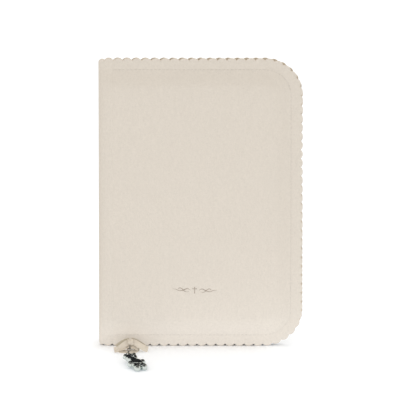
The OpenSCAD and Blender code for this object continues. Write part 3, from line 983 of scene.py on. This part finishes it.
def make_strands(mat):
    """The doubled ribbon from the knot down to the table and round the bail's bar."""
    front = round_bar((1.2, 0.3, -0.6, -1.4))
    front += [(PULL_X, -2.2, 0.36), (PULL_X, -8.0, 0.34), (PULL_X - 0.1, -13.0, 0.45),
              (PULL_X - 0.2, -16.0, 2.2), (PULL_X - 0.3, -17.2, 5.0), (KNOT.x, -17.6, 8.0)]
    back = round_bar((0.9, 1.7, 2.5))
    back += [(PULL_X, -1.6, 1.0), (PULL_X, -4.5, 0.74), (PULL_X, -9.0, 0.70), (PULL_X, -13.5, 1.0),
             (PULL_X, -16.4, 3.4), (KNOT.x, -17.3, 7.0)]
    for name, line, count in (("bow_strand", front, 70), ("bow_strand_back", back, 60)):
        ribbon(name, line, [(1, 0, 0)] * len(line), mat, 3.2, count=count, cup=0.0, thick=0.28)


def bear_matrix():
    """Where the bear lies, from its own plane to the scene."""
    return (Matrix.Translation(BEAR_AT) @ Matrix.Rotation(math.radians(BEAR_TURN), 4, "Z")
            @ Matrix.Rotation(math.radians(BEAR_TILT), 4, "X"))


def oval_link(length, width):
    """A link in its own plane, long along Y."""
    straight, bend = length - width, (width - WIRE) / 2
    line = []
    for end in (1, -1):
        for k in range(13):
            a = math.pi * k / 12
            line.append((end * bend * math.cos(a), end * (straight / 2 + bend * math.sin(a)), 0))
    return sweep(line, [(0, 0, 1)] * len(line), round_profile(WIRE / 2, 14), True)


def make_chain(mat):
    """Oval links from the knot to the bear's eyelet, each a quarter turn from the next."""
    eyelet = bear_matrix() @ Vector((0, EYELET_Y, BEAR_T / 2))
    run = eyelet + Vector((0, 0.1, 0)) - CHAIN_START
    links, width, play = 3, 3.8, 0.3
    length = (run.length + (links - 1) * (2 * WIRE + play)) / links
    pitch = length - 2 * WIRE - play
    aim = (-run).to_track_quat("Y", "Z").to_matrix().to_4x4()
    for i in range(links):
        quarter = Matrix.Rotation(math.radians(90 * ((i + 1) % 2)), 4, "Y")
        at = Matrix.Translation(CHAIN_START + run.normalized() * (length / 2 + i * pitch))
        verts, faces = oval_link(length, width)
        placed = [at @ aim @ quarter @ Vector(v) for v in verts]
        obj = mesh_object(f"chain_link_{i + 1}", placed, faces, [mat])
        piece(obj, "pull", ["charm_chain"] if i == 0 else [])


def puff(x, y, r, top, squash=1.0):
    """A cushion-shaped solid on the bear's flat back: a short wall that rounds over into a dome."""
    rows = [(r - 0.5, 0.0), (r - 0.12, 0.15), (r, 0.55)]
    wall = 0.42 * top
    rows += [(r * math.cos(a) ** 0.75, wall + (top - wall) * math.sin(a))
             for a in np.linspace(0, math.pi / 2 * 0.93, 9)]
    sides = 40
    verts = [(x + q * math.cos(t), y + q * squash * math.sin(t), z) for q, z in rows
             for t in np.linspace(0, 2 * math.pi, sides, False)]
    m = len(rows)
    around = [(k, (k + 1) % sides) for k in range(sides)]
    faces = [(i * sides + a, i * sides + b, (i + 1) * sides + b, (i + 1) * sides + a)
             for i in range(m - 1) for a, b in around]
    faces += [tuple(range(sides))[::-1], tuple(range((m - 1) * sides, m * sides))]
    return verts, faces


def remeshed(obj, voxel, smooth_steps):
    """One skin round the solids of a mesh, smoothed."""
    bpy.context.view_layer.objects.active = obj
    for kind, settings in (("REMESH", {"mode": "VOXEL", "voxel_size": voxel * MM}),
                           ("SMOOTH", {"factor": 0.5, "iterations": smooth_steps})):
        mod = obj.modifiers.new(kind.lower(), kind)
        for key, value in settings.items():
            setattr(mod, key, value)
        with bpy.context.temp_override(object=obj, active_object=obj):
            bpy.ops.object.modifier_apply(modifier=mod.name)
    obj.data.polygons.foreach_set("use_smooth", [True] * len(obj.data.polygons))


def make_bear(mat):
    """A plain puffy teddy with a flat back, cast in one with the eyelet over its head."""
    parts = [puff(0, 0, 5.2, 5.0, 0.94), puff(0, -10.4, 5.4, 5.2, 1.08), puff(0, -1.5, 2.1, 5.75, 0.85),
             puff(0, -5.4, 3.4, 4.0)]
    for side in (-1, 1):
        parts += [puff(side * 4.0, 3.6, 2.0, 4.1), puff(side * 5.6, -9.6, 2.4, 4.3, 1.15),
                  puff(side * 3.0, -17.6, 2.9, 4.8, 1.15), puff(side * 3.0, -15.4, 2.6, 4.2)]
    verts, faces = joined(parts)
    bear = mesh_object("bear", verts, faces, [mat])
    remeshed(bear, 0.22, 5)
    placed = bear_matrix()
    bear.data.transform(Matrix.Diagonal((1 / MM,) * 3 + (1,)))
    bear.data.transform(placed)
    bear.data.transform(Matrix.Diagonal((MM,) * 3 + (1,)))
    piece(bear, "charm", ["bear_charm"])
    dots = [Matrix.Translation((side * 1.75, 1.15, 4.78)) for side in (-1, 1)]
    eyes = scattered(ball((0.42, 0.42, 0.30), 8, 12), dots)
    nose = scattered(ball((0.75, 0.52, 0.35), 8, 12), [Matrix.Translation((0, -1.0, 5.70))])
    verts, faces = joined([eyes, nose])
    face = mesh_object("bear_face", [placed @ Vector(v) for v in verts], faces, [mat], sharp=80)
    piece(face, "charm")
    ring = [(EYELET_R * math.cos(a), EYELET_Y + EYELET_R * math.sin(a), BEAR_T / 2)
            for a in np.linspace(0, 2 * math.pi, 32, False)]
    verts, faces = sweep(ring, [(0, 0, 1)] * 32, round_profile(WIRE / 2, 14), True)
    piece(mesh_object("bear_eyelet", [placed @ Vector(v) for v in verts], faces, [mat]), "charm")


# ---------------------------------------------------------------- CAD nodes that stay

def paint(mat, *names):
    """Gives CAD nodes a material and flat shading."""
    for name in names:
        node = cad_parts[name]
        node.data.materials.clear()
        node.data.materials.append(mat)
        node.data.polygons.foreach_set("use_smooth", [False] * len(node.data.polygons))


def paint_cad_nodes():
    pages = paper_material("pages", PAPER, 0.05)
    paint(pages, *(f"section_{i}" for i in range(1, 9)), *(f"leaf_{i}" for i in range(1, 4)))
    paint(paper_material("endpaper", (0.83, 0.79, 0.69), 0.03), "front_pastedown", "back_pastedown",
          "front_flyleaf", "back_flyleaf")
    paint(board_material(), "front_board", "back_board", "spine_stiffener")
    paint(weave_material("gauze", (0.80, 0.78, 0.72), 1600, 0.95, 0.15, 0.35), "mull")
    tape = weave_material("zip_tape", (0.58, 0.47, 0.35), 2600, 0.85, 0.12, 0.3)
    paint(tape, "front_zip_tape", "back_zip_tape")
    paint(stripe_material(), "head_band", "tail_band")
    paint(satin_material("marker_silk", MARKER_SILK), "ribbon_marker")


make_camera()
make_world(bpy.context.scene)
make_lights()
make_stage()
leatherette, backing = leatherette_material(), backing_material()
lining_cloth = weave_material("lining_cloth", (0.60, 0.52, 0.42), 2200)
thread, plastic = thread_material(), plastic_material()
for cover, scallops, head_drop in (("front", FRONT_SCALLOPS, 0.0), ("back", BACK_SCALLOPS, HEAD_DROP)):
    make_cover(cover, scallops, head_drop, [leatherette, backing])
    make_lining(cover, lining_cloth)
    make_stitching(cover, head_drop, thread)
    make_teeth(cover, plastic)
make_ornament(foil_material())
make_slider(chrome_material("slider_metal", (0.62, 0.60, 0.56), 0.12, 0.25))
satin = satin_material("ribbon", (0.59, 0.508, 0.4))
make_bow_ends(satin)
# the folds and backs take a darker copy of the ribbon satin: painted shade
make_bow_loops(satin, satin_material("ribbon_painted_shade", (0.44, 0.374, 0.268)))
make_knot(satin)
make_strands(satin)
chrome = chrome_material("chrome", (0.62, 0.66, 0.63), 0.03, 0.09)
# the chain's plating is darker than the other metals: a painted dark reflection
make_chain(chrome_material("chain_metal", (0.40, 0.38, 0.35), 0.08, 0.18))
make_bear(chrome)
make_spine_lining(lining_cloth)
paint_cad_nodes()

bpy.context.view_layer.update()
